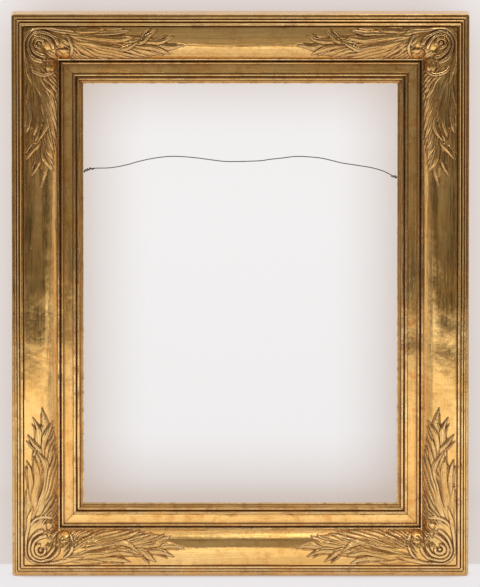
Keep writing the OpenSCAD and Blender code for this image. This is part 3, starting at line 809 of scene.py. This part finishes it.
class Carving:
    """Height above the panel over one corner, cut stroke by stroke, and how dark its hollows are with dirt
    and painted shade.
    """

    def __init__(self, seed):
        self.x, self.y = np.meshgrid(AXIS, AXIS, indexing="ij")
        self.height = np.zeros_like(self.x)
        self.dirt = np.zeros_like(self.x)
        self.rng = np.random.default_rng(seed)
        kx, ky, phase, _ = wave_terms(seed, count=12, longest=90.0, shortest=22.0)
        swing = [sum(SWAY * np.sin(a * self.x + b * self.y + p + q) for a, b, p in zip(kx, ky, phase))
                 for q in (0.0, 1.9)]
        self.wx, self.wy = self.x + swing[0], self.y + swing[1]

    def near(self, path):
        """Grid points near a path, with each one's nearest sample, signed distance and way gone along it."""
        x, y, w = path[:, 0], path[:, 1], path[:, 2]
        reach = w.max() + REACH
        rows = np.flatnonzero((AXIS > x.min() - reach) & (AXIS < x.max() + reach))
        cols = np.flatnonzero((AXIS > y.min() - reach) & (AXIS < y.max() + reach))
        if not len(rows) or not len(cols):
            return None
        where = np.ix_(rows, cols)
        px, py = self.wx[where].astype(np.float32), self.wy[where].astype(np.float32)
        gap = (px[..., None] - x.astype(np.float32)) ** 2 + (py[..., None] - y.astype(np.float32)) ** 2
        at = gap.argmin(-1)
        tx, ty = np.gradient(x), np.gradient(y)
        side = tx[at] * (py - y[at]) - ty[at] * (px - x[at])
        dist = np.sqrt(gap.min(-1)) * np.sign(side)
        gone = np.concatenate([[0], np.cumsum(np.hypot(np.diff(x), np.diff(y)))])
        return where, at, dist, gone[at]

    def stroke(self, controls, vein=0.3, flutes=0, blend=14.0, roundness=0.62):
        """A raised rounded stroke with a vein along its middle, or several flutes. It rises out of what is
        there over the length blend, and digs in a little along its edges."""
        path = spline(controls, 0.6)
        found = self.near(path)
        if found is None:
            return
        where, at, dist, gone = found
        w, h = path[at, 2], path[at, 3] * self.rng.uniform(0.92, 1.1)
        u = dist / w
        inside = np.abs(u) < 1
        body = np.clip(1 - u * u, 0, 1) ** roundness
        if flutes:
            ripple = np.abs(np.sin(np.pi * (u * flutes / 2 + 0.5 * (flutes % 2) + 0.12 * np.sin(gone / 17))))
            new = h * body * (0.62 + 0.38 * ripple ** 0.7)
            lines = (1 - ripple) ** 3 * 0.7
        else:
            groove = np.exp(-(u / VEIN_W) ** 2) * vein
            new = h * (body - groove * body)
            lines = groove * 1.5
        fade = np.clip(gone / blend, 0, 1) if blend else np.ones_like(gone)
        fade = fade * fade * (3 - 2 * fade)
        old = self.height[where]
        edge = np.exp(-((np.abs(dist) - w - 0.25) / DIG_W) ** 2) * fade
        old = np.where(inside, old, old - DIG_DEPTH * edge * np.clip(old + 0.5, 0, 1.2))
        self.height[where] = np.where(inside, old * (1 - fade) + new * fade, old)
        # A dark rim of dirt and painted shade round the stroke, and dark lines of dirt and painted shade in
        # its vein or flutes
        rim = np.exp(-((np.abs(dist) - w) / RIM_W) ** 2) * 0.9 * fade
        dirt = self.dirt[where]
        kept = np.where(inside, dirt * (1 - fade), dirt)
        self.dirt[where] = np.maximum(kept, np.maximum(rim, np.where(inside, lines * fade, 0)))

    def cut(self, controls, depth=1.2):
        """A hollow line cut into what is there. The controls' heights are shares of the depth."""
        path = spline(controls, 0.5)
        found = self.near(path)
        if found is None:
            return
        where, at, dist, _ = found
        hollow = np.exp(-(dist / path[at, 2]) ** 2)
        self.height[where] -= depth * hollow * path[at, 3]
        # The cut line is darkened with dirt and painted shade
        self.dirt[where] = np.maximum(self.dirt[where], hollow * 0.98)

    def boss(self, x, y, radius, height):
        """A round dome with a rim darkened with dirt and painted shade."""
        gap = np.hypot(self.wx - x, self.wy - y) / radius
        dome = np.clip(1 - gap ** 2, 0, 1) ** 0.55
        self.height = np.where(gap < 1, height * dome, self.height)
        rim = np.exp(-((gap - 1) * radius / 0.6) ** 2) * 0.95
        self.dirt = np.maximum(np.where(gap < 1, 0, self.dirt), rim)


def beside(leaf, lean):
    """A narrow feather that lies against one side of a leaf."""
    return [(a - 4, c + lean * (0.75 * w + 1.3), 1.5, 0.8 * h) for a, c, w, h in leaf[:-1]] + [
        (leaf[-1][0] - 9, leaf[-1][1] + lean * 1.8, 0.4, 0.8)]


def carve_spray(work, arm):
    """The spray of one arm: its fluted body, the feathers and the leaves over them, and the root leaves."""
    work.stroke(arm(SPRAY_BODY), flutes=9, blend=20)
    for leaf in LEAVES:
        for lean in (-1, 1):
            work.stroke(arm(beside(leaf, lean)), vein=0.0, blend=18)
    for leaf in LEAVES:
        work.stroke(arm(leaf), flutes=max(2, round(leaf[-2][2] / 1.15)), blend=22)
    for number in range(5):
        root = 70 + 7.2 * number
        work.stroke(arm([(root - 9, 44 + number, 1.2, 1), (root, 53 + number, 2.0, 2.2),
                         (root + 8, 60.5, 2.2, 2.2), (root + 13.5, 64.6, 1.0, 1.2)]), vein=0.3, blend=6)
        work.cut(arm([(root + 14.2, 61.8, 0.8, 0.8), (root + 16.2, 63.2, 0.9, 1)]), 0.9)


def carve_bud(work, arm):
    """The curl round one bud, the bud itself and the nicks in them."""
    work.stroke(arm(BUD_CURL), vein=0.1, blend=8, roundness=0.4)
    work.boss(*arm([BUD_PLACE])[0], BUD_R, RIDGE_H)
    for nick in BUD_NICKS:
        work.cut(arm(nick))


def carve_corner(seed):
    """A whole corner: both sprays, the ridges and the buds over them, and the scroll's eye."""
    work = Carving(seed)
    for arm in (list, swapped):
        carve_spray(work, arm)
    for half in RIDGE_HALVES:
        work.stroke(swapped(half[:0:-1]) + half, vein=0.12, blend=0, roundness=0.38)
    for arm in (list, swapped):
        carve_bud(work, arm)
    work.stroke(ring_arc(RING_RADII[0], 70, 372, 2.5, 2.1, 10), vein=0.0, blend=3, roundness=0.38)
    work.boss(SCROLL_C, SCROLL_C, 3.0, RIDGE_H)
    work.stroke([(50, 50.4, 2, 1.6), (57, 57.2, 3.4, 2.4), (64.6, 64.4, 0.6, 1)], vein=0.3, blend=4)
    return work


def corner_fields(seed, right, top):
    """The carved surface of one corner: places, with how dark each is with dirt and painted shade, and how
    pale with wear and a painted highlight.
    """
    work = carve_corner(seed)
    height = smooth(work.height, 1) * 0.6 + work.height * 0.4
    low, high = smooth(height, 3), smooth(height, 6)
    carved = np.clip(smooth((np.abs(height) > 0.05).astype(float), 3) * 1.6, 0, 1)
    # Painted shade in hollows that lie below their surroundings, added to the dirt along the strokes' rims
    # and veins
    hollow = np.clip((low - height - 0.2) * 0.9, 0, 1) + np.clip((high - height - 0.5) * 0.2, 0, 0.4)
    cavity = np.clip(np.maximum(smooth(work.dirt, 1) * 0.85, hollow), 0, 1) * np.minimum(1, carved + 0.2)
    # A painted highlight on ridges that stand above their surroundings
    wear_and_highlight = np.clip((height - low - 0.15) * 1.2, 0, 1) + 0.08

    # The relief ends at the panel's edges and where the spray ends
    across, along = np.minimum(work.x, work.y), np.maximum(work.x, work.y)
    edge = np.clip(np.minimum(across - SKIN_FROM, SKIN_TO - across) / 1.6, 0, 1)
    end = np.clip((CARVED_END - along) / 6, 0, 1)
    height = np.clip(height, -0.9, 3.9) * edge * end + SKIN_LIFT
    level = np.minimum(panel_at(across) + height, HIGHEST)
    px = (1 if right else -1) * (FRAME_W / 2 - work.x)
    pz = FRAME_H / 2 + (1 if top else -1) * (FRAME_H / 2 - work.y)
    py = np.maximum(BACK_Y - level - hand_wave(px, pz), CAD_FRONT_Y + 0.02)
    return np.stack([px, py, pz, cavity, wear_and_highlight], axis=-1)


def corner_pieces(word, right, top, seed):
    """The carved skin of one corner: the scroll, and a spray along each arm."""
    fields = corner_fields(seed, right, top)
    mirrored = right != top
    scroll_at = int(np.argmin(np.abs(AXIS - SCROLL_END)))
    inner_at = int(np.argmin(np.abs(AXIS - SKIN_TO)))
    across, along = slice(0, inner_at + 1), slice(scroll_at, len(AXIS))
    used = np.zeros((scroll_at + 1, scroll_at + 1), bool)
    used[:inner_at + 1, :] = True
    used[:, :inner_at + 1] = True
    level_word = "top" if top else "bottom"
    for name, block, mask, axis in (
            ("scroll_" + word, fields[:scroll_at + 1, :scroll_at + 1], used, "X"),
            ("spray_%s_%s" % (word, level_word), fields[along, across], None, "X"),
            ("spray_%s_side" % word, fields[across, along], None, "Z")):
        skin(name, block, mask, GILDING_CARVED[axis], mirrored)


def skin(node, block, mask, gilt, mirrored):
    """A closed piece: the carved surface, walls down from its edges and a flat bottom inside the rail."""
    rows, cols = block.shape[:2]
    mask = np.ones((rows, cols), bool) if mask is None else mask
    number = np.full((rows, cols), -1)
    number[mask] = np.arange(mask.sum())
    quads = mask[:-1, :-1] & mask[1:, :-1] & mask[:-1, 1:] & mask[1:, 1:]
    i, j = np.nonzero(quads)
    corners = np.stack([number[i, j], number[i + 1, j], number[i + 1, j + 1], number[i, j + 1]], axis=1)
    if not mirrored:
        corners = corners[:, ::-1]
    verts = block[mask]

    # The edges that only one face has, in order, make the outline that the walls go down from
    edges = set()
    for quad in corners.tolist():
        for a, b in zip(quad, quad[1:] + quad[:1]):
            if (b, a) in edges:
                edges.remove((b, a))
            else:
                edges.add((a, b))
    following = dict(edges)
    start = next(iter(following))
    loop = [start]
    while following[loop[-1]] != start:
        loop.append(following[loop[-1]])
    floor = verts[loop].copy()
    floor[:, 1] = BACK_Y - SKIN_BOTTOM
    floor[:, 3:] = 0
    base = len(verts)
    count = len(loop)
    faces = corners.tolist()
    faces += [(loop[k], base + k, base + (k + 1) % count, loop[(k + 1) % count]) for k in range(count)]
    faces.append(tuple(base + k for k in range(count)))
    verts = np.concatenate([verts, floor])
    piece = new_object(node + "_carved", verts[:, :3], faces, [gilt], "frame", None,
                       {"cavity": verts[:, 3], "wear_and_highlight": verts[:, 4]}, 70.0)
    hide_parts(node)


GILDING_CARVED = each_way(gilding, "carved_gilding", tone=0.3, gloss=0.19, most_dirt=0.72)
CARVING_SEED = 71
CORNERS = (("tl", False, True), ("tr", True, True), ("bl", False, False), ("br", True, False))
for number, (word, right, top) in enumerate(CORNERS):
    corner_pieces(word, right, top, CARVING_SEED + number)


# Hardware and keys, whose CAD shapes are kept

KEPT_FINISHES = {"corner_key": KEY_WOOD, "screw_eye": EYE_METAL, "liner_brads": BRAD_METAL}
for node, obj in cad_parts.items():
    for first_words, material in KEPT_FINISHES.items():
        if node.startswith(first_words):
            obj.data.materials.clear()
            obj.data.materials.append(material)


# Floor, wall, surroundings and light

FLOOR_FRONT = -0.68
CARD_TOP = 0.215
WALL_Y = 0.085
SHADE = srgb(212, 194, 182)

# Light from the room by height, from straight down at 0 to straight up at 1
ROOM_AHEAD = [
    (0.0, (0.34, 0.30, 0.26)), (0.30, (0.28, 0.245, 0.21)), (0.43, (0.045, 0.036, 0.03)),
    (0.50, (0.04, 0.032, 0.027)), (0.60, (0.12, 0.10, 0.085)), (0.92, (0.15, 0.13, 0.11)),
    (0.98, (0.62, 0.59, 0.56))]
ROOM_ASIDE = [
    (0.0, (0.20, 0.175, 0.155)), (0.50, (0.21, 0.185, 0.165)), (0.88, (0.42, 0.39, 0.37)),
    (0.98, (0.55, 0.52, 0.50)), (1.0, (0.95, 0.92, 0.90))]


def pale_plane(name, corners, colour, low_tone, shade_reach, glow):
    """A pale plane that mostly glows by itself, with a painted soft shadow close to the frame and painted
    shade low down.
    low_tone is how bright the painted shade leaves it low down, shade_reach how far the frame's painted
    shadow reaches, and glow how much of it glows. From behind it is clear, so that it hides nothing."""
    n = Nodes(bpy.data.materials.new(name))
    split = n.add("ShaderNodeSeparateXYZ")
    n.link(n.place(), split.inputs[0])
    height = split.outputs["Z"]
    # Painted shade: darker low down
    tint = n.mix(n.span(height, 0.75, 0.05), colour, tuple(low_tone * c for c in colour))
    # Painted soft shadow near the frame, from ambient occlusion
    near = n.add("ShaderNodeAmbientOcclusion", samples=16)
    near.inputs["Distance"].default_value = shade_reach
    open_share = n.math("ADD", near.outputs["AO"], n.span(height, 0.10, 0.0, 0.0, 0.35))
    shade = n.mix(n.span(open_share, 0.45, 1.0), SHADE, (1.0, 1.0, 1.0))
    diffuse = n.add("ShaderNodeBsdfDiffuse")
    n.link(tint, diffuse.inputs["Color"])
    plain = n.add("ShaderNodeEmission")
    n.link(n.mix(1.0, tint, shade, "MULTIPLY"), plain.inputs["Color"])
    join = n.add("ShaderNodeMixShader")
    join.inputs["Fac"].default_value = glow
    n.link(diffuse.outputs[0], join.inputs[1])
    n.link(plain.outputs[0], join.inputs[2])
    one_sided = n.add("ShaderNodeMixShader")
    n.link(n.add("ShaderNodeNewGeometry").outputs["Backfacing"], one_sided.inputs[0])
    n.link(join.outputs[0], one_sided.inputs[1])
    n.link(n.add("ShaderNodeBsdfTransparent").outputs[0], one_sided.inputs[2])
    out = n.add("ShaderNodeOutputMaterial")
    n.link(one_sided.outputs[0], out.inputs["Surface"])
    mesh = bpy.data.meshes.new(name)
    mesh.from_pydata(corners, [], [(0, 1, 2, 3)])
    mesh.materials.append(n.owner)
    obj = bpy.data.objects.new(name, mesh)
    bpy.context.scene.collection.objects.link(obj)


def floor_and_wall():
    low = LO.z - 0.0002
    floor_w, wall_w, wall_top = 2.2, 4, 3
    pale_plane("floor", [(-floor_w, FLOOR_FRONT, low), (floor_w, FLOOR_FRONT, low),
                         (floor_w, WALL_Y, low), (-floor_w, WALL_Y, low)],
               srgb(242, 239, 241), low_tone=1.0, shade_reach=0.05, glow=0.86)
    pale_plane("backdrop", [(-wall_w, WALL_Y, low), (wall_w, WALL_Y, low),
                            (wall_w, WALL_Y, wall_top), (-wall_w, WALL_Y, wall_top)],
               srgb(250, 248, 248), low_tone=0.93, shade_reach=0.12, glow=0.92)


def surroundings():
    """A dark room in front with a bright ceiling, for the gold to reflect; pale where the camera looks."""
    world = bpy.data.worlds.new("surroundings")
    bpy.context.scene.world = world
    n = Nodes(world)
    split = n.add("ShaderNodeSeparateXYZ")
    n.link(n.add("ShaderNodeTexCoord").outputs["Generated"], split.inputs[0])
    forward = n.math("MULTIPLY", split.outputs["Y"], -1.0)
    height = n.span(split.outputs["Z"], -1.0, 1.0)
    room = n.add("ShaderNodeBackground")
    n.link(n.mix(n.span(forward, 0.20, 0.60), n.ramp(height, ROOM_ASIDE), n.ramp(height, ROOM_AHEAD)),
           room.inputs["Color"])
    wall = n.add("ShaderNodeBackground")
    wall.inputs["Color"].default_value = (*srgb(244, 243, 243), 1)

    # The camera sees the pale background, and so do reflections and clear things towards the back
    path = n.add("ShaderNodeLightPath").outputs
    through = n.math("MAXIMUM", path["Is Glossy Ray"], path["Is Transmission Ray"])
    behind = n.math("MULTIPLY", through, n.span(forward, 0.0, -0.2))
    join = n.add("ShaderNodeMixShader")
    n.link(n.math("MAXIMUM", path["Is Camera Ray"], behind), join.inputs[0])
    n.link(room.outputs[0], join.inputs[1])
    n.link(wall.outputs[0], join.inputs[2])
    out = n.add("ShaderNodeOutputWorld")
    n.link(join.outputs[0], out.inputs["Surface"])


def soft_light(name, place, aim, width, height, power):
    """A rectangular lamp of slightly warm white at a place, turned towards its aim."""
    data = bpy.data.lights.new(name, "AREA")
    data.shape = "RECTANGLE"
    data.size, data.size_y = width, height
    data.energy = power
    data.color = (1.0, 0.97, 0.93)
    obj = bpy.data.objects.new(name, data)
    obj.location = place
    obj.rotation_mode = "QUATERNION"
    obj.rotation_quaternion = (Vector(aim) - Vector(place)).to_track_quat("-Z", "Y")
    bpy.context.scene.collection.objects.link(obj)


floor_and_wall()
surroundings()
card_z = CARD_TOP / 2
soft_light("low_card", (0, FLOOR_FRONT, card_z), (0, 0, card_z), 2.0, CARD_TOP, 1.6)
soft_light("high_card", (0, -0.9, 0.70), (0, 0, 0.70), 0.5, 0.7, 0.24)
soft_light("window_left", (-1.1, -0.95, 2.4), (0, 0, 0.4), 0.3, 0.3, 4.5)
soft_light("window_right", (1.4, -1.1, 2.3), (0, 0, 0.4), 0.3, 0.3, 3.0)
soft_light("overhead", (0.4, -0.1, 2.5), (0, 0, 0.5), 1.4, 0.6, 5)
bpy.context.scene.view_settings.view_transform = "Standard"
bpy.context.scene.view_settings.look = "None"
